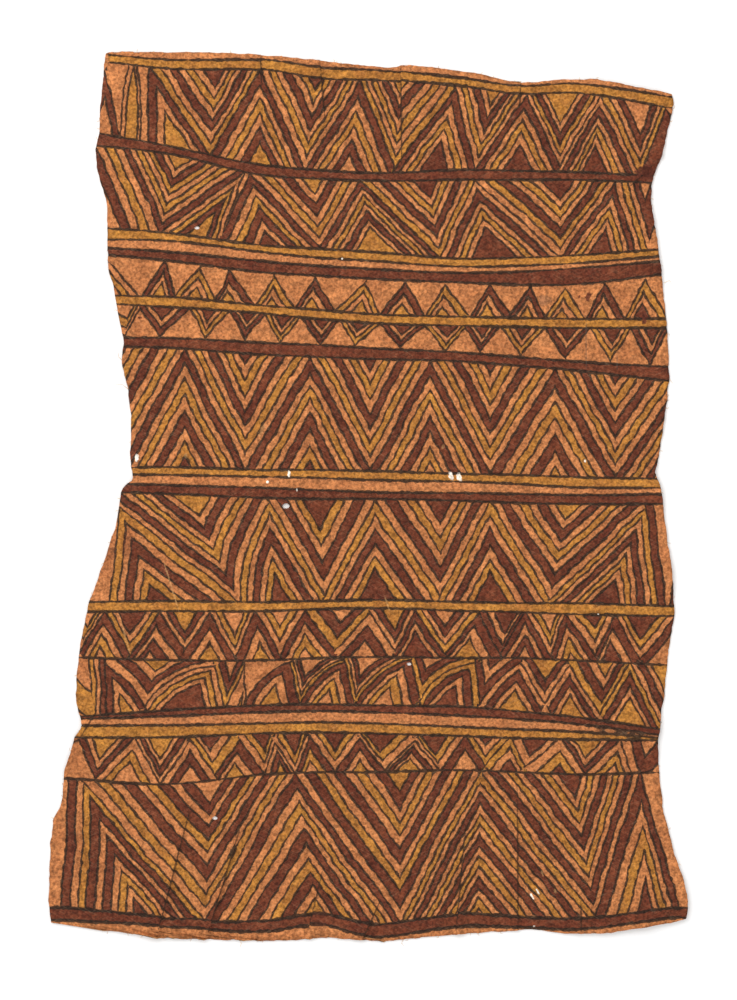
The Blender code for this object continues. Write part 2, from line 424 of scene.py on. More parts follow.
# The painting.
# Bands of nested zigzags in brown, ochre and bare bark, drawn freehand between long lines in black.
# Each V hangs from the line above and each A stands on the line below, and their stripes run parallel
# to the zigzag between them. The chart gives the place across of a nest's outer tip and of its inner
# one, the share of the band that it fills, its stripes from the zigzag inwards (B brown, O ochre,
# N natural bark), how far its tip stops short of the long line, or would lie past it below 0, and how
# far the arm on its left bows upwards.
Nest = namedtuple("Nest", "way tip inner depth stripes gap bow", defaults=(0, 0))
BANDS = {
    "band_a": (
        Nest("A", 20, 20, 0.3, "N"), Nest("V", 80, 80, 0.3, "N"), Nest("A", 105, 105, 0.5, "BN", 10),
        Nest("V", 120, 120, 0.3, "N"), Nest("A", 135, 135, -0.25, "NO", -60),
        Nest("V", 145, 145, 0.3, "N", -60), Nest("A", 150, 165, 0.55, "BNO"),
        Nest("V", 210, 215, 0.8, "ONBNONB"),
        Nest("A", 260, 260, 0.75, "BNONBO"), Nest("V", 305, 315, 0.85, "NONBNOB"),
        Nest("A", 360, 350, 0.8, "BNONBN"), Nest("V", 395, 400, 0.85, "ONONBNO", 5),
        Nest("A", 455, 440, 0.7, "BNONB", 5), Nest("V", 475, 490, 0.8, "NONBNO"),
        Nest("A", 525, 520, 0.65, "BNONB"), Nest("V", 560, 560, 0.6, "NOBNO", 5),
        Nest("A", 600, 595, 0.7, "NBNONB"), Nest("V", 640, 640, 0.55, "ONBN"),
        Nest("A", 665, 670, 0.45, "BN"), Nest("V", 720, 720, 0.3, "N"), Nest("A", 760, 760, 0.3, "N"),
    ),
    "band_b": (
        Nest("A", -30, -30, 0.3, "N"), Nest("V", 20, 20, 0.3, "N"),
        Nest("A", 80, 95, 0.25, "NONBN", -100),
        Nest("V", 160, 175, 0.8, "BNONOBNO"), Nest("A", 245, 215, 0.65, "NOBO"),
        Nest("V", 220, 245, 0.9, "N"), Nest("A", 250, 265, 0.8, "BNOBNB"),
        Nest("V", 320, 315, 0.8, "NONBNO"), Nest("A", 360, 370, 0.65, "BNONBNO"),
        Nest("V", 440, 430, 0.8, "ONBNONB"), Nest("A", 475, 485, 0.6, "NBNONB"),
        Nest("V", 560, 560, 0.75, "NOBNONB"), Nest("A", 615, 605, 0.7, "BNONB"),
        Nest("V", 660, 645, 0.75, "NONBN", -100), Nest("A", 720, 720, 0.3, "N"),
        Nest("V", 760, 760, 0.3, "N"),
    ),
    "band_e": (
        Nest("V", 0, 0, 0.9, "N"), Nest("A", 60, 60, 0.9, "BNONBNON"),
        Nest("V", 120, 120, 0.9, "NONBNONB"),
        Nest("A", 185, 185, 0.9, "BNONBNOB"), Nest("V", 245, 245, 0.9, "NONBNONB"),
        Nest("A", 310, 310, 0.9, "BNONBNOB"), Nest("V", 370, 370, 0.9, "NONBNONB"),
        Nest("A", 430, 430, 0.9, "BNONBNON"), Nest("V", 490, 490, 0.9, "NONBNONB"),
        Nest("A", 555, 555, 0.9, "BNONBNO"), Nest("V", 615, 615, 0.9, "NONBNONB"),
        Nest("A", 680, 680, 0.8, "BNONBNON"), Nest("V", 740, 740, 0.9, "NO"),
        Nest("A", 800, 800, 0.3, "N"),
    ),
    "band_f": (
        Nest("V", -20, -20, 0.3, "N"), Nest("A", 30, 30, 0.3, "N"), Nest("V", 105, 90, 0.3, "N", -40),
        Nest("A", 120, 150, 0.85, "ONBNOB", 15), Nest("V", 240, 200, 0.8, "NBNONBNO"),
        Nest("A", 270, 275, 0.75, "ONBNOB", 5, 8), Nest("V", 325, 320, 0.7, "NBNOB", 5),
        Nest("A", 375, 375, 0.7, "ONBNOB"), Nest("V", 440, 440, 0.8, "NBNONB", 5),
        Nest("A", 490, 490, 0.7, "ONBNOB"), Nest("V", 550, 565, 0.85, "NBNONBNO", 5),
        Nest("A", 645, 615, 0.75, "ONBNONB", 5), Nest("V", 670, 665, 0.65, "BNN", -95),
        Nest("A", 700, 700, 0.3, "N"), Nest("V", 740, 740, 0.3, "N"),
    ),
    "band_g": (
        Nest("V", 10, 10, 0.3, "N"), Nest("A", 40, 40, 0.3, "N"), Nest("V", 80, 90, 0.6, "NON", 5),
        Nest("A", 105, 100, 0.8, "BNON"), Nest("V", 130, 130, 0.55, "ONB", 5),
        Nest("A", 160, 150, 0.8, "BNBN"), Nest("V", 185, 185, 0.6, "NBO", 10),
        Nest("A", 210, 210, 0.6, "BNO"), Nest("V", 235, 235, 0.55, "NON", 5),
        Nest("A", 255, 260, 0.65, "BNO"), Nest("V", 280, 280, 0.65, "NON", 5),
        Nest("A", 305, 305, 0.75, "BNON"), Nest("V", 335, 340, 0.65, "OBN", 5),
        Nest("A", 370, 365, 0.65, "NBN", 5), Nest("V", 395, 395, 0.55, "NBO", 5),
        Nest("A", 415, 415, 0.45, "BNB"), Nest("V", 445, 445, 0.7, "ONBN", 5),
        Nest("A", 480, 470, 0.55, "BNO"), Nest("V", 500, 505, 0.55, "BNB", 5),
        Nest("A", 525, 525, 0.75, "BNBN"), Nest("V", 550, 550, 0.6, "NON", 5),
        Nest("A", 565, 570, 0.8, "BNON"), Nest("V", 595, 595, 0.65, "NOB", 5),
        Nest("A", 615, 610, 0.6, "BNB"), Nest("V", 640, 640, 0.55, "NOB", 5),
        Nest("A", 675, 675, 0.7, "BNNN"), Nest("V", 715, 715, 0.3, "N"), Nest("A", 750, 750, 0.3, "N"),
    ),
    "band_h": (
        Nest("V", -90, -90, 0.3, "N"), Nest("A", -60, -60, 0.3, "N"),
        Nest("V", 110, 90, 0.45, "BNON", -75),
        Nest("A", 105, 120, 0.65, "BNO", 5), Nest("V", 145, 155, 0.75, "NBNO", 5, 3),
        Nest("A", 215, 200, 0.5, "NONB", 5, 9), Nest("V", 225, 230, 0.65, "OBN"),
        Nest("A", 245, 245, 0.65, "NO", 5), Nest("V", 245, 260, 0.8, "N"),
        Nest("A", 290, 275, 0.6, "BNO", 3, 7), Nest("V", 300, 305, 0.6, "ONBN"),
        Nest("A", 345, 330, 0.65, "BNON", 5, 7), Nest("V", 355, 360, 0.6, "ONBN"),
        Nest("A", 410, 390, 0.6, "BNON", 3, 8), Nest("V", 420, 425, 0.7, "OBN", 5),
        Nest("A", 475, 455, 0.6, "OBNB", 5, 9), Nest("V", 480, 490, 0.8, "BNB", 5),
        Nest("A", 520, 515, 0.6, "NBNO", 5, 3), Nest("V", 545, 545, 0.6, "NBO", 10),
        Nest("A", 570, 570, 0.6, "NBNO", 5, 2), Nest("V", 600, 605, 0.75, "OBNO", 5),
        Nest("A", 630, 630, 0.55, "OBNO"), Nest("V", 670, 665, 0.6, "NBNO", -10),
        Nest("A", 700, 700, 0.3, "N"), Nest("V", 740, 740, 0.3, "N"),
    ),
    "band_i": (
        Nest("A", -20, -20, 0.3, "N"), Nest("V", 20, 20, 0.3, "N"), Nest("A", 80, 70, 0.3, "N"),
        Nest("V", 95, 100, 0.5, "BNO"), Nest("A", 135, 130, 0.55, "NON"),
        Nest("V", 160, 160, 0.55, "NBNO"),
        Nest("A", 190, 190, 0.6, "NBN", 5), Nest("V", 215, 210, 0.65, "ONB", 5),
        Nest("A", 240, 235, 0.65, "BNO", 5), Nest("V", 265, 265, 0.6, "NOB"),
        Nest("A", 275, 280, 0.75, "NBO", 10), Nest("V", 295, 295, 0.5, "NOB"),
        Nest("A", 310, 310, 0.7, "BON", 5), Nest("V", 335, 335, 0.55, "NOB"),
        Nest("A", 360, 360, 0.7, "BNO", 5), Nest("V", 385, 380, 0.5, "NOB"),
        Nest("A", 415, 410, 0.65, "NBNO", 5), Nest("V", 440, 435, 0.5, "NOB"),
        Nest("A", 465, 465, 0.4, "BN"), Nest("V", 485, 485, 0.7, "ONB", 5),
        Nest("A", 510, 510, 0.65, "ONB"), Nest("V", 525, 530, 0.5, "NB", 5),
        Nest("A", 560, 560, 0.75, "NOB"), Nest("V", 585, 585, 0.45, "BNO"),
        Nest("A", 620, 615, 0.7, "NON"), Nest("V", 640, 645, 0.5, "NBN", -30),
        Nest("A", 690, 690, 0.3, "N"), Nest("V", 720, 720, 0.3, "N"),
    ),
    "band_j": (
        Nest("A", -150, -150, 0.3, "N"), Nest("V", 70, 60, -0.5, "NBN", -200),
        Nest("A", 85, 135, 0.9, "OBNBNONB", 5),
        Nest("V", 205, 210, 0.85, "NONBNOBNBN"), Nest("A", 295, 315, 0.9, "BNONBNOBNO"),
        Nest("V", 400, 400, 0.85, "NBONBNONBO"), Nest("A", 480, 480, 0.9, "ONBNONBNONBNO"),
        Nest("V", 595, 575, 0.85, "NBNONBNONB"), Nest("A", 640, 645, 0.8, "BNONB"),
        Nest("V", 705, 700, 0.3, "N", -95), Nest("A", 780, 780, 0.3, "N"),
    ),
}
# Two borders of single teeth, with plain bark between one tooth and the next.
Teeth = namedtuple("Teeth", "way lean depth gap tips stripes between")
BORDERS = {
    "band_c": Teeth(
        "A", -3, 0.65, 3,
        (20, 105, 165, 200, 230, 275, 315, 365, 405, 445, 490, 530, 565, 605, 645, 700),
        ("N", "NONO", "BNO", "ONO", "BNO", "ONO", "BNO", "ONO", "BNO", "ONO", "BNO", "BNO", "ONO", "BNO",
         "ONB", "N"),
        (60, 140, 175, 215, 255, 295, 335, 380, 425, 470, 510, 545, 585, 625, 665, 740),
    ),
    "band_d": Teeth(
        "V", 2, 0.6, 2,
        (20, 125, 160, 205, 245, 280, 320, 355, 400, 445, 480, 520, 565, 610, 650, 720),
        ("N", "NON", "BNB", "ONB", "BNB", "ONB", "BNB", "ONB", "BNB", "ONB", "BNB", "ONB", "BNB", "ONB",
         "BNB", "N"),
        (60, 140, 190, 230, 265, 300, 340, 380, 425, 465, 500, 545, 590, 630, 670, 760),
    ),
}
PLAIN_DEPTH = 0.3
for border, teeth in BORDERS.items():
    other_way = "V" if teeth.way == "A" else "A"
    BANDS[border] = ()
    for tip, stripes, between in zip(teeth.tips, teeth.stripes, teeth.between):
        BANDS[border] += (
            Nest(teeth.way, tip, tip + teeth.lean, teeth.depth, stripes, teeth.gap),
            Nest(other_way, between, between, PLAIN_DEPTH, "N"),
        )
LETTERS = "NOB"
LEAST_SPACING = 3.0
PLACES = 13


def arm_distance(arm, x, y):
    """Distance from an arm of the zigzag, straight or bowed, in chart pixels, above it being positive."""
    (x0, y0), (x1, y1), bow = arm
    length = np.hypot(x1 - x0, y1 - y0)
    run = np.clip(((x - x0) * (x1 - x0) + (y - y0) * (y1 - y0)) / length**2, 0, 1)
    return ((x - x0) * (y1 - y0) - (y - y0) * (x1 - x0)) / length - bow * 4 * run * (1 - run)


def stripe_code(stripes):
    """The stripes of a nest as one number in base 3, its last colour filling the middle."""
    filled = stripes + stripes[-1] * (PLACES - len(stripes))
    return sum(LETTERS.index(letter) * 3**place for place, letter in enumerate(filled))


def band_lines(course, x):
    """The chart heights of the lines above and below a course."""
    return chart_y(line_height(course, sheet_x(x))), chart_y(line_height(course + 1, sheet_x(x)))


def lay_out_band(course, nests):
    """The arms of a band's zigzag from tip to tip, and each nest's stripe spacing at its two arms."""
    tips, inners = [], []
    for nest in nests:
        upper, lower = band_lines(course, nest.tip)
        tips.append((nest.tip, upper + nest.gap if nest.way == "A" else lower - nest.gap))
        upper, lower = band_lines(course, nest.inner)
        reach = (lower - upper) * nest.depth
        inners.append((nest.inner, upper + reach if nest.way == "A" else lower - reach))
    arms = [(*ends, nest.bow) for ends, nest in zip(zip(tips, tips[1:]), nests[1:])]
    spacing = []
    for i, (nest, (x, y)) in enumerate(zip(nests, inners)):
        sign = -1 if nest.way == "A" else 1
        count = max(len(nest.stripes) - 1, 0.01)
        sides = (arms[max(i - 1, 0)], arms[min(i, len(arms) - 1)])
        spacing.append([max(sign * arm_distance(side, x, y) / count, LEAST_SPACING) for side in sides])
    return arms, spacing


# Every corner of the mesh gets its place in the chart, out of step to the right of a tuck.
corner_vert = np.empty(len(cloth_mesh.loops), int)
cloth_mesh.loops.foreach_get("vertex_index", corner_vert)
face_sizes = [len(face.vertices) for face in cloth_mesh.polygons]
corner_face = np.repeat(np.arange(len(face_sizes)), face_sizes)
places = np.array([vert.co[:2] for vert in cloth_mesh.vertices])[corner_vert]
counts = np.bincount(corner_face)
middles = np.stack([np.bincount(corner_face, places[:, k]) / counts for k in (0, 1)], axis=1)
chart, chart_middle = places.copy(), middles.copy()
for tuck in TUCKS:
    slip = np.array((tuck.slip_x, tuck.slip_y)) * MM
    run, off = beside_tuck(tuck, middles[:, 0], middles[:, 1])
    right = off > 0
    chart_middle -= slip * (right * hold_slip(run, off))[:, None]
    run, off = beside_tuck(tuck, places[:, 0], places[:, 1])
    chart -= slip * (right[corner_face] * hold_slip(run, off))[:, None]
place_x, place_y = chart_x(chart[:, 0]), chart_y(chart[:, 1])
spot_x, spot_y = chart_x(places[:, 0]), chart_y(places[:, 1])
spot_face_x, spot_face_y = chart_x(middles[corner_face, 0]), chart_y(middles[corner_face, 1])
face_x, face_y = chart_x(chart_middle[corner_face, 0]), chart_y(chart_middle[corner_face, 1])

face_course = np.zeros(len(face_x), int)
for number in range(1, len(COURSES)):
    face_course += face_y > chart_y(line_height(number, sheet_x(face_x)))
arms_data = np.zeros((len(face_x), 3))
hanging_data = np.ones((len(face_x), 3))
standing_data = np.ones((len(face_x), 3))
course_data = np.zeros((len(face_x), 3))
KINDS = ("zigzag", "bare", "ochre", "brown")
LINE_HALF, HEAVY_LINE_HALF = 1.6, 2.0
NO_LINE = 99
for course, kind in enumerate(COURSES):
    here = np.flatnonzero(face_course == course)
    x, y = place_x[here], place_y[here]
    above, below = band_lines(course, x)
    above = y - above if course > 0 else np.full(len(here), NO_LINE)
    below = below - y if course < len(COURSES) - 1 else np.full(len(here), NO_LINE)
    course_data[here, 0] = 0 if kind in BANDS else KINDS.index(kind)
    course_data[here, 1] = np.minimum(above, below) * PIXEL / MM
    course_data[here, 2] = HEAVY_LINE_HALF if course >= len(COURSES) - 2 else LINE_HALF
    if kind not in BANDS:
        continue
    nests = BANDS[kind]
    arms, spacing = lay_out_band(course, nests)
    middle_x, middle_y = face_x[here], face_y[here]
    beyond = np.zeros(len(here), int)
    for (x0, y0), (x1, y1), _ in arms:
        beyond += middle_x > x0 + (middle_y - y0) * (x1 - x0) / (y1 - y0)
    left, right = np.clip(beyond - 1, 1, len(arms) - 2), np.clip(beyond, 1, len(arms) - 2)
    away = np.abs([arm_distance(arm, middle_x, middle_y) for arm in arms])
    each = np.arange(len(here))
    own = np.where(away[left, each] <= away[right, each], left, right)
    for i in range(1, len(arms) - 1):
        some = own == i
        if not some.any():
            continue
        spot, px, py = here[some], x[some], y[some]
        rising = nests[i].way == "V"
        hanging, standing = (i, i + 1) if rising else (i + 1, i)
        other_hanging, other_standing = (i - 1, i + 1) if rising else (i + 1, i - 1)
        arms_data[spot, 0] = arm_distance(arms[i], px, py)
        arms_data[spot, 1] = arm_distance(arms[other_hanging], px, py)
        arms_data[spot, 2] = -arm_distance(arms[other_standing], px, py)
        side = 1 if rising else 0
        code = stripe_code(nests[hanging].stripes)
        hanging_data[spot] = (spacing[hanging][side], spacing[hanging][1 - side], code)
        code = stripe_code(nests[standing].stripes)
        standing_data[spot] = (spacing[standing][1 - side], spacing[standing][side], code)
arms_data *= PIXEL / MM
hanging_data[:, :2] *= PIXEL / MM
standing_data[:, :2] *= PIXEL / MM

# Wear and spills: each one's place, width and height in chart pixels and its turn left in degrees.
Mark = namedtuple("Mark", "x y width height turn kind")
WEAR = {
    "abrasion": (
        (289, 474, 3, 7, 0), (268, 482, 3, 3, 0), (297, 490, 2, 3, 0), (451, 476, 5, 8, 20),
        (459, 477, 5, 8, 20), (585, 461, 2, 3, 0), (598, 614, 2, 2, 0), (342, 259, 2, 2, 0),
        (137, 458, 4, 8, 0), (538, 892, 2, 6, 30), (532, 896, 2, 6, 30),
    ),
    "scratch": (
        (542, 873, 2, 8, 20), (555, 891, 3, 6, 20), (262, 430, 4, 13, -20), (186, 456, 3, 6, 0),
        (443, 447, 3, 5, 0), (172, 588, 2, 58, 17), (387, 603, 2, 16, 20), (125, 635, 2, 36, 16),
    ),
    "drop": (
        (588, 297, 6, 9, -20), (579, 297, 2, 4, -20), (644, 319, 5, 12, 0), (140, 318, 5, 2, 0),
        (645, 173, 20, 16, 0),
    ),
    "stain": ((208, 648, 7, 6, 0), (111, 553, 11, 14, 0), (127, 545, 13, 28, 0), (320, 919, 18, 22, 0)),
    "smudge": ((544, 300, 15, 11, 0), (586, 345, 2, 56, 0), (617, 362, 2, 15, 0)),
    "bare": ((103, 60, 13, 13, 0),),
}
MARKS = [Mark(*place, kind) for kind, places in WEAR.items() for place in places]
# The kinds of mark: wear and spills, then crease, which is the painted shadow along the tucks.
MARK_KINDS = (*WEAR, "crease")
# A thin dark line is painted along each tuck: painted shadow under the lap's edge, a mark of the last
# kind, named crease.
TUCK_SHADOW_WIDTH = 2.0
for tuck in TUCKS:
    ends = np.array(((tuck.edge_x, tuck.edge_y), (tuck.inner_x, tuck.inner_y))) * MM
    across, up = (ends[1] - ends[0]) / PIXEL
    middle = ends.mean(axis=0)
    turn = np.degrees(np.arctan2(-across, up))
    length = np.hypot(across, up)
    MARKS.append(Mark(chart_x(middle[0]), chart_y(middle[1]), TUCK_SHADOW_WIDTH, length, turn, "crease"))
# Stands for a mark, a border or an ink line that is too far off to matter.
FAR = 9.0
mark_data = np.full((len(face_x), 3), FAR)
nearest = np.full(len(face_x), np.inf)
for mark in MARKS:
    cos, sin = np.cos(np.radians(mark.turn)), np.sin(np.radians(mark.turn))

    def mark_place(x, y, mark=mark, cos=cos, sin=sin):
        """A place seen from a mark's middle, 1 being its rim."""
        across, down = x - mark.x, y - mark.y
        return (across * cos - down * sin) * 2 / mark.width, (across * sin + down * cos) * 2 / mark.height

    away = np.hypot(*mark_place(spot_face_x, spot_face_y))
    closer = away < nearest
    nearest[closer] = away[closer]
    u, v = mark_place(spot_x[closer], spot_y[closer])
    mark_data[closer] = np.stack((u, v, np.full(len(u), MARK_KINDS.index(mark.kind))), axis=1)
for name, data in (
    ("arms", arms_data), ("hanging", hanging_data), ("standing", standing_data), ("course", course_data),
    ("mark", mark_data),
):
    layer = cloth_mesh.attributes.new(name, "FLOAT_VECTOR", "CORNER")
    layer.data.foreach_set("vector", data.ravel())


def colour(code):
    """An sRGB hex value as linear red, green, blue and alpha."""
    shares = [int(code[i : i + 2], 16) / 255 for i in (1, 3, 5)]
    return [c / 12.92 if c <= 0.04045 else ((c + 0.055) / 1.055) ** 2.4 for c in shares] + [1]


def add(tree, kind, *inputs, **settings):
    """Adds a node with its settings. Nodes, sockets or values fill its open sockets in order."""
    made = tree.nodes.new("ShaderNode" + kind)
    for key, value in settings.items():
        setattr(made, key, value)
    sockets = [socket for socket in made.inputs if socket.enabled]
    for socket, value in zip(sockets, inputs):
        if isinstance(value, bpy.types.Node):
            value = next(output for output in value.outputs if output.enabled)
        if isinstance(value, bpy.types.NodeSocket):
            tree.links.new(value, socket)
        elif value is not None:
            socket.default_value = value
    return made


# Beaten bark under earth paints: red-brown clay, ochre and soot black, brushed on thin. Matt and dry,
# the felted fibres show through the paint as a fine mottle with light criss-cross streaks.
# Each paint has two tones. A noise's scale is 1000 over the size of its cells in millimetres.
NATURAL = (colour("#BD7847"), colour("#A26239"))
OCHRE = (colour("#B07530"), colour("#985F2A"))
BROWN = (colour("#6E3822"), colour("#572719"))
INK = colour("#271C15")
FIBRE_LIGHT = colour("#D5B48E")
# One paint for each kind of mark, in order; the last, near-black one is painted shadow along the tucks.
MARK_PAINTS = (
    ("#E9DECF", 0.95), ("#C79A66", 0.35), ("#55291D", 0.9), ("#55291D", 0.35), ("#4A463E", 0.35),
    ("#BE7A4A", 1.0), ("#2E2016", 0.7),
)
painted = bpy.data.materials.new("painted_beaten_bark")
painted.use_nodes = True
tree = painted.node_tree
where = add(tree, "TexCoord").outputs["Object"]


def letter_at(code, place):
    """The letter of a nest's stripes at a whole place, counted from the zigzag inwards."""
    power = add(tree, "Math", 3.0, place, operation="POWER")
    share = add(tree, "Math", add(tree, "Math", code, 0.5, operation="ADD"), power, operation="DIVIDE")
    return add(tree, "Math", add(tree, "Math", share, operation="FLOOR"), 3.0, operation="MODULO")


# The hand's wander: broad bends, then the shake of the brush.
WANDERS = ((60, 5.0), (15, 3.0), (5.5, 1.4))
wander = None
for size, reach in WANDERS:
    wave = add(tree, "TexNoise", where, 1000 / size, 0.0)
    wave = add(tree, "Math", wave, -0.5, operation="ADD")
    wave = add(tree, "Math", wave, reach, operation="MULTIPLY")
    wander = wave if wander is None else add(tree, "Math", wander, wave, operation="ADD")
shake = add(tree, "TexNoise", where, 1000 / 3.2, 2.0)
shake = add(tree, "Math", shake, -0.5, operation="ADD")

charted = {}
for name in ("arms", "hanging", "standing", "course", "mark"):
    vector = add(tree, "Attribute", attribute_name=name).outputs["Vector"]
    charted[name] = add(tree, "SeparateXYZ", vector).outputs
own = add(tree, "Math", charted["arms"]["X"], wander, operation="ADD")
is_hanging = add(tree, "Math", own, 0.0, operation="GREATER_THAN")
own_in = add(tree, "Math", own, operation="ABSOLUTE")
other_hanging = add(tree, "Math", charted["arms"]["Y"], wander, operation="ADD")
other_standing = add(tree, "Math", charted["arms"]["Z"], wander, operation="SUBTRACT")
other_in = add(tree, "Mix", is_hanging, other_standing, other_hanging)
own_pitch = add(tree, "Mix", is_hanging, charted["standing"]["X"], charted["hanging"]["X"])
other_pitch = add(tree, "Mix", is_hanging, charted["standing"]["Y"], charted["hanging"]["Y"])
code = add(tree, "Mix", is_hanging, charted["standing"]["Z"], charted["hanging"]["Z"])
own_steps = add(tree, "Math", own_in, own_pitch, operation="DIVIDE")
other_steps = add(tree, "Math", other_in, other_pitch, operation="DIVIDE")
steps = add(tree, "Math", own_steps, other_steps, operation="MINIMUM")
steps = add(tree, "Math", steps, 0.0, operation="MAXIMUM")
by_other = add(tree, "Math", other_steps, own_steps, operation="LESS_THAN")
pitch = add(tree, "Mix", by_other, own_pitch, other_pitch)
place = add(tree, "Math", steps, operation="FLOOR")
part = add(tree, "Math", steps, place, operation="SUBTRACT")
letter = letter_at(code, place)
outer = letter_at(code, add(tree, "Math", place, -1.0, operation="ADD"))
inner_letter = letter_at(code, add(tree, "Math", place, 1.0, operation="ADD"))

# Brown stripes are brushed wider than the others, so their borders move outwards.
BROWN_SHARE = 0.05
browns = []
for value in (outer, letter, inner_letter):
    browns.append(add(tree, "Math", value, 1.5, operation="GREATER_THAN"))
near_shift = add(tree, "Math", browns[0], browns[1], operation="SUBTRACT")
near_border = add(tree, "Math", near_shift, BROWN_SHARE, operation="MULTIPLY")
far_shift = add(tree, "Math", browns[1], browns[2], operation="SUBTRACT")
far_border = add(tree, "Math", far_shift, BROWN_SHARE, 1.0, operation="MULTIPLY_ADD")
before = add(tree, "Math", part, near_border, operation="LESS_THAN")
after = add(tree, "Math", part, far_border, operation="GREATER_THAN")
letter_here = add(tree, "Mix", after, add(tree, "Mix", before, letter, outer), inner_letter)
to_near = add(tree, "Math", part, near_border, operation="SUBTRACT")
to_near = add(tree, "Math", to_near, operation="ABSOLUTE")
to_far = add(tree, "Math", far_border, part, operation="SUBTRACT")
to_far = add(tree, "Math", to_far, operation="ABSOLUTE")
same_near = add(tree, "Math", outer, letter, 0.5, operation="COMPARE")
same_far = add(tree, "Math", inner_letter, letter, 0.5, operation="COMPARE")
to_near = add(tree, "Math", same_near, FAR, to_near, operation="MULTIPLY_ADD")
to_far = add(tree, "Math", same_far, FAR, to_far, operation="MULTIPLY_ADD")
to_border = add(tree, "Math", to_near, to_far, operation="MINIMUM")
to_border = add(tree, "Math", to_border, pitch, operation="MULTIPLY")
to_border = add(tree, "Math", to_border, own_in, operation="MINIMUM")

# The courses between the long lines are plain, or banded with the zigzags.
kind = charted["course"]["X"]
plain = add(tree, "Math", kind, 0.5, operation="GREATER_THAN")
plain_letter = add(tree, "Math", kind, -1.0, operation="ADD")
letter_here = add(tree, "Mix", plain, letter_here, plain_letter)
letter_share = add(tree, "Math", letter_here, 0.5, operation="MULTIPLY")
coats = []
for coat in (0, 1):
    ramp = add(tree, "ValToRGB", letter_share)
    ramp.color_ramp.interpolation = "CONSTANT"
    ramp.color_ramp.elements[0].color = NATURAL[coat]
    ramp.color_ramp.elements[1].position = 0.75
    ramp.color_ramp.elements[1].color = BROWN[coat]
    ramp.color_ramp.elements.new(0.25).color = OCHRE[coat]
    coats.append(ramp.outputs["Color"])
cover = add(tree, "TexNoise", where, 1000 / 30, 6.0, 0.7)
cover = add(tree, "MapRange", cover, 0.36, 0.64, 0.0, 1.0)
paint = add(tree, "Mix", cover, *coats, data_type="RGBA").outputs[2]

# Soot lines: twice as wide where the brush is full, thin or broken where it runs dry.
brush = add(tree, "TexNoise", where, 1000 / 6, 1.0)
brush_width = add(tree, "MapRange", brush, 0.3, 0.7, 0.55, 1.35)
ragged = add(tree, "Math", shake, 1.8, operation="MULTIPLY")
to_line = add(tree, "Math", wander, 0.3, charted["course"]["Y"], operation="MULTIPLY_ADD")
to_line = add(tree, "Math", to_line, operation="ABSOLUTE")
NEST_HALF = 1.3
nest_half = add(tree, "Math", brush_width, NEST_HALF, operation="MULTIPLY")
line_half = add(tree, "Math", brush_width, charted["course"]["Z"], operation="MULTIPLY")
nest_ink = add(tree, "Math", nest_half, to_border, operation="SUBTRACT")
line_ink = add(tree, "Math", line_half, to_line, operation="SUBTRACT")
zigzag = add(tree, "Math", 1.0, plain, operation="SUBTRACT")
nest_ink = add(tree, "Mix", zigzag, -FAR, nest_ink)
ink = add(tree, "Math", nest_ink, line_ink, operation="MAXIMUM")
ink = add(tree, "Math", ink, ragged, operation="ADD")
ink = add(tree, "MapRange", ink, -0.35, 0.4, 0.0, 0.93)
painting = add(tree, "Mix", ink, paint, INK, data_type="RGBA").outputs[2]

# Felted fibres, in two lays across each other. They are finer than the render shows, so they are drawn
# about three times as coarse.
FIBRE_LENGTH, FIBRE_WIDTH = 16 * MM, 1.5 * MM
FIBRE_TURNS = (24, -31)


def lay_fibres(tree, where, turn):
    """Long thin streaks, turned by some degrees."""
    lay = add(
        tree, "Mapping", where, (0, 0, 0), (0, 0, np.radians(turn)), (FIBRE_LENGTH, FIBRE_WIDTH, 1),
        vector_type="TEXTURE",
    )
    return add(tree, "TexNoise", lay, 1.0, 2.0, 0.6)


lays = [lay_fibres(tree, where, turn) for turn in FIBRE_TURNS]
fibres = add(tree, "Math", *lays, operation="MAXIMUM")
light = add(tree, "MapRange", fibres, 0.54, 0.78, 0.0, 0.1)
painting = add(tree, "Mix", light, painting, FIBRE_LIGHT, data_type="RGBA").outputs[2]

# Marks of wear and spills, and the painted shadow lines along the tucks, with ragged rims.
mark_vector = add(tree, "CombineXYZ", charted["mark"]["X"], charted["mark"]["Y"], 0.0)
mark_reach = add(tree, "VectorMath", mark_vector, operation="LENGTH").outputs["Value"]
mark_reach = add(tree, "Math", shake, 1.6, mark_reach, operation="MULTIPLY_ADD")
mark_share = add(tree, "Math", charted["mark"]["Z"], 1 / (len(MARK_KINDS) - 1), operation="MULTIPLY")
mark_paint = add(tree, "ValToRGB", mark_share)
mark_paint.color_ramp.interpolation = "CONSTANT"
stops = mark_paint.color_ramp.elements
stops.remove(stops[-1])
for number, (tone, strength) in enumerate(MARK_PAINTS):
    at = max(number - 0.5, 0) / (len(MARK_KINDS) - 1)
    stop = stops.new(at) if number else stops[0]
    stop.position = at
    stop.color = colour(tone)[:3] + [strength]
mark_cover = add(tree, "MapRange", mark_reach, 0.75, 1.1, 1.0, 0.0)
mark_cover = add(tree, "Math", mark_cover, mark_paint.outputs["Alpha"], operation="MULTIPLY")
mark_tone = mark_paint.outputs["Color"]
painting = add(tree, "Mix", mark_cover, painting, mark_tone, data_type="RGBA").outputs[2]

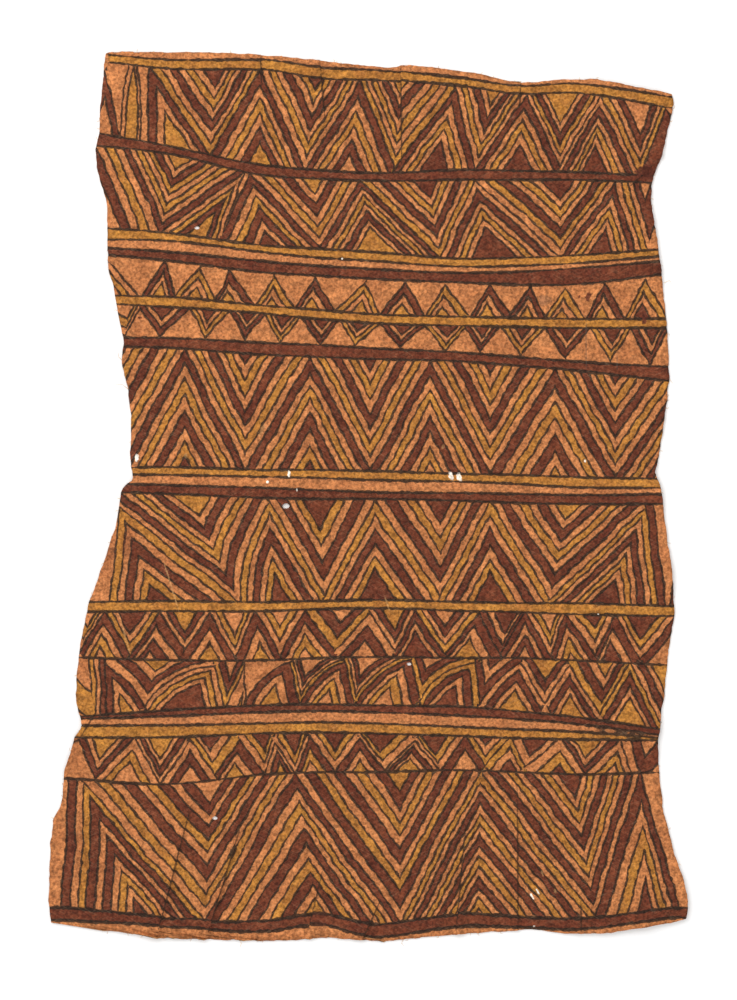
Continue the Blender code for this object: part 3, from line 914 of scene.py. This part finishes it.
# Mottle, grain and a few dark specks of bark.
mottle = add(tree, "TexNoise", where, 1000 / 9, 4.0, 0.65)
grain = add(tree, "TexNoise", where, 1000 / 3.0, 2.0, 0.6)
specks = add(tree, "TexNoise", where, 1000 / 3.1, 2.0, 0.5)
specks = add(tree, "MapRange", specks, 0.67, 0.76, 1.0, 0.55)
shade = add(tree, "MapRange", mottle, 0.3, 0.7, 0.76, 1.24)
speckle = add(tree, "MapRange", grain, 0.35, 0.65, 0.6, 1.4)
shade = add(tree, "Math", shade, speckle, operation="MULTIPLY")
shade = add(tree, "Math", shade, specks, operation="MULTIPLY")
shaded = add(tree, "VectorMath", painting, shade, operation="SCALE")
relief = add(tree, "Math", fibres, grain, operation="ADD")
BUMP_STRENGTH, BUMP_HEIGHT = 0.5, 0.35 * MM


def finish_bark(tree, tone, relief, roughness):
    """Gives bark its colour, a dull surface and a fine relief."""
    shader = tree.nodes["Principled BSDF"]
    tree.links.new(tone.outputs[0], shader.inputs["Base Color"])
    shader.inputs["Roughness"].default_value = roughness
    shader.inputs["Specular IOR Level"].default_value = 0.2
    bump = add(tree, "Bump")
    bump.inputs["Strength"].default_value = BUMP_STRENGTH
    bump.inputs["Distance"].default_value = BUMP_HEIGHT
    tree.links.new(relief.outputs[0], bump.inputs["Height"])
    tree.links.new(bump.outputs["Normal"], shader.inputs["Normal"])


finish_bark(tree, shaded, relief, 0.9)

# Unpainted beaten bark, which shows on the back and at the torn edges: paler, with the same fibres.
bare = bpy.data.materials.new("bare_beaten_bark")
bare.use_nodes = True
tree = bare.node_tree
where = add(tree, "TexCoord").outputs["Object"]
mottle = add(tree, "TexNoise", where, 1000 / 9, 5.0, 0.65)
strand = lay_fibres(tree, where, FIBRE_TURNS[0])
back_tone = add(tree, "Math", mottle, strand, operation="ADD")
back_tone = add(tree, "Math", back_tone, 0.5, operation="MULTIPLY")
tone = add(tree, "ValToRGB", back_tone)
TONE_STOPS = (0.35, 0.65)
for stop, at, code in zip(tone.color_ramp.elements, TONE_STOPS, ("#8E6039", "#C49668")):
    stop.position = at
    stop.color = colour(code)
finish_bark(tree, tone, back_tone, 0.95)
cloth_mesh.materials.append(painted)
cloth_mesh.materials.append(bare)


# Loose fibres at the torn edges.
# Strands of bast that the tearing pulled free, each a fraction of a millimetre thick and bent.
# They are still felted into the sheet at one end and lie down beside it at the other.
FIBRE_COUNT = 70
FIBRE_RADIUS = 0.22 * MM
FIBRE_LENGTHS = (2, 5)
FELTED_IN = 2 * MM
FIBRE_TURN, FIBRE_BEND = 1.1, 0.9
FIBRE_TAPER = 0.15
ALONG_EDGE = (0.06, 0.94)
LongFibre = namedtuple("LongFibre", "x y mid_x mid_y end_x end_y")
LONG_FIBRES = (
    LongFibre(131, 391, 122, 385, 114, 384), LongFibre(666, 379, 670, 380, 673, 384),
    LongFibre(122, 360, 119, 357, 118, 352), LongFibre(664, 283, 669, 281, 672, 284),
    LongFibre(238, 938, 241, 943, 240, 947), LongFibre(404, 938, 402, 943, 404, 946),
)
draw = random.Random(11)
strands = []
for fibre in LONG_FIBRES:
    spots = ((fibre.x, fibre.y), (fibre.mid_x, fibre.mid_y), (fibre.end_x, fibre.end_y))
    strands.append([Vector((sheet_x(x), sheet_y(y), 0)) for x, y in spots])
for number in range(FIBRE_COUNT):
    side = number % 4
    level = draw.uniform(*ALONG_EDGE)
    if side < 2:
        i = int(level * (len(levels_y) - 1))
        start = Vector(((left_reach, right_reach)[side][i], levels_y[i], 0))
        out = Vector((-1 if side == 0 else 1, 0, 0))
    else:
        i = int(level * (len(levels_x) - 1))
        start = Vector((levels_x[i], (bottom_reach, top_reach)[side - 2][i], 0))
        out = Vector((0, -1 if side == 2 else 1, 0))
    length = draw.uniform(*FIBRE_LENGTHS) * MM
    way = out.copy()
    way.rotate(Matrix.Rotation(draw.uniform(-FIBRE_TURN, FIBRE_TURN), 3, "Z"))
    bent = way.copy()
    bent.rotate(Matrix.Rotation(draw.uniform(-FIBRE_BEND, FIBRE_BEND), 3, "Z"))
    middle = start + way * length / 2
    strands.append([start - out * FELTED_IN, middle, middle + bent * length / 2])
fibre_curve = bpy.data.curves.new("loose_fibres", "CURVE")
fibre_curve.dimensions = "3D"
fibre_curve.bevel_depth = FIBRE_RADIUS
fibre_curve.bevel_resolution = 1
fibre_curve.use_fill_caps = True
FIBRE_HEIGHTS = (0.9 * MM, 0.6 * MM, 0.3 * MM)
MERGE_REACH = 0.01 * MM
for strand in strands:
    spline = fibre_curve.splines.new("POLY")
    middle = strand[1] * 1.25 - (strand[0] + strand[2]) * 0.125
    ends = (strand[0], (strand[0] + middle) / 2, middle, (middle + strand[2]) / 2, strand[2])
    spline.points.add(len(ends) - 1)
    for number, (point, end) in enumerate(zip(spline.points, ends)):
        height = np.interp(number / 2, (0, 1, 2), FIBRE_HEIGHTS)
        point.co = (end.x, end.y, height, 1)
        point.radius = 1 - FIBRE_TAPER * number
fibre_source = add_object("fibre_source", fibre_curve)
bpy.context.view_layer.update()
drawn = fibre_source.evaluated_get(bpy.context.evaluated_depsgraph_get())
fibre_mesh = bpy.data.meshes.new_from_object(drawn)
bpy.data.objects.remove(fibre_source)
bm = bmesh.new()
bm.from_mesh(fibre_mesh)
bmesh.ops.remove_doubles(bm, verts=bm.verts, dist=MERGE_REACH)
bmesh.ops.recalc_face_normals(bm, faces=bm.faces)
bm.to_mesh(fibre_mesh)
bm.free()
fibre_mesh.shade_smooth()
loose = add_object("loose_fibres", fibre_mesh)
bast = bpy.data.materials.new("dry_bast_fibre")
bast.use_nodes = True
tree = bast.node_tree
where = add(tree, "TexCoord").outputs["Object"]
tone = add(tree, "ValToRGB", add(tree, "TexNoise", where, 1000 / 12, 2.0))
for stop, at, code in zip(tone.color_ramp.elements, TONE_STOPS, ("#B98A58", "#E6C596")):
    stop.position = at
    stop.color = colour(code)
shader = tree.nodes["Principled BSDF"]
tree.links.new(tone.outputs[0], shader.inputs["Base Color"])
shader.inputs["Roughness"].default_value = 0.7
fibre_mesh.materials.clear()
fibre_mesh.materials.append(bast)
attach(loose, "root")


# The table that it lies on, and the light.
# A plain near-white floor under a broad soft light from the upper left, seen from straight above.
FLOOR_SIZE = 8.0
FLOOR_GAP = 0.02 * MM
bm = bmesh.new()
bmesh.ops.create_grid(bm, x_segments=1, y_segments=1, size=FLOOR_SIZE / 2)
bmesh.ops.translate(bm, verts=bm.verts, vec=(0, 0, -FLOOR_GAP))
floor_mesh = bpy.data.meshes.new("floor")
bm.to_mesh(floor_mesh)
bm.free()
floor = add_object("floor", floor_mesh)
matt_white = bpy.data.materials.new("matt_white_board")
matt_white.use_nodes = True
shader = matt_white.node_tree.nodes["Principled BSDF"]
shader.inputs["Base Color"].default_value = colour("#F4F4F4")
shader.inputs["Roughness"].default_value = 0.9
floor_mesh.materials.append(matt_white)

LAMP_POWER, LAMP_SIZE = 45, 2.0
LAMP_PLACE = (-1.6, 1.6, 2.4)
lamp_data = bpy.data.lights.new("soft_box", "AREA")
lamp_data.energy = LAMP_POWER
lamp_data.size = LAMP_SIZE
lamp = add_object("soft_box", lamp_data)
lamp.location = LAMP_PLACE
lamp.rotation_euler = (-lamp.location).to_track_quat("-Z", "Y").to_euler()
world = bpy.data.worlds.new("studio")
world.use_nodes = True
sky = world.node_tree.nodes["Background"]
sky.inputs["Color"].default_value = colour("#FFFFFF")
sky.inputs["Strength"].default_value = 1.0
bpy.context.scene.world = world
bpy.context.scene.view_settings.view_transform = "Standard"

VIEW_HEIGHT = 1000 * PIXEL
VIEW_MIDDLE = (sheet_x(368.5), sheet_y(500))
camera_data = bpy.data.cameras.new("camera")
camera_data.sensor_fit = "VERTICAL"
camera_data.sensor_height = 36
camera_data.lens = 85
camera = add_object("camera", camera_data)
camera.location = (*VIEW_MIDDLE, VIEW_HEIGHT * camera_data.lens / camera_data.sensor_height)
bpy.context.scene.camera = camera

bpy.context.view_layer.update()
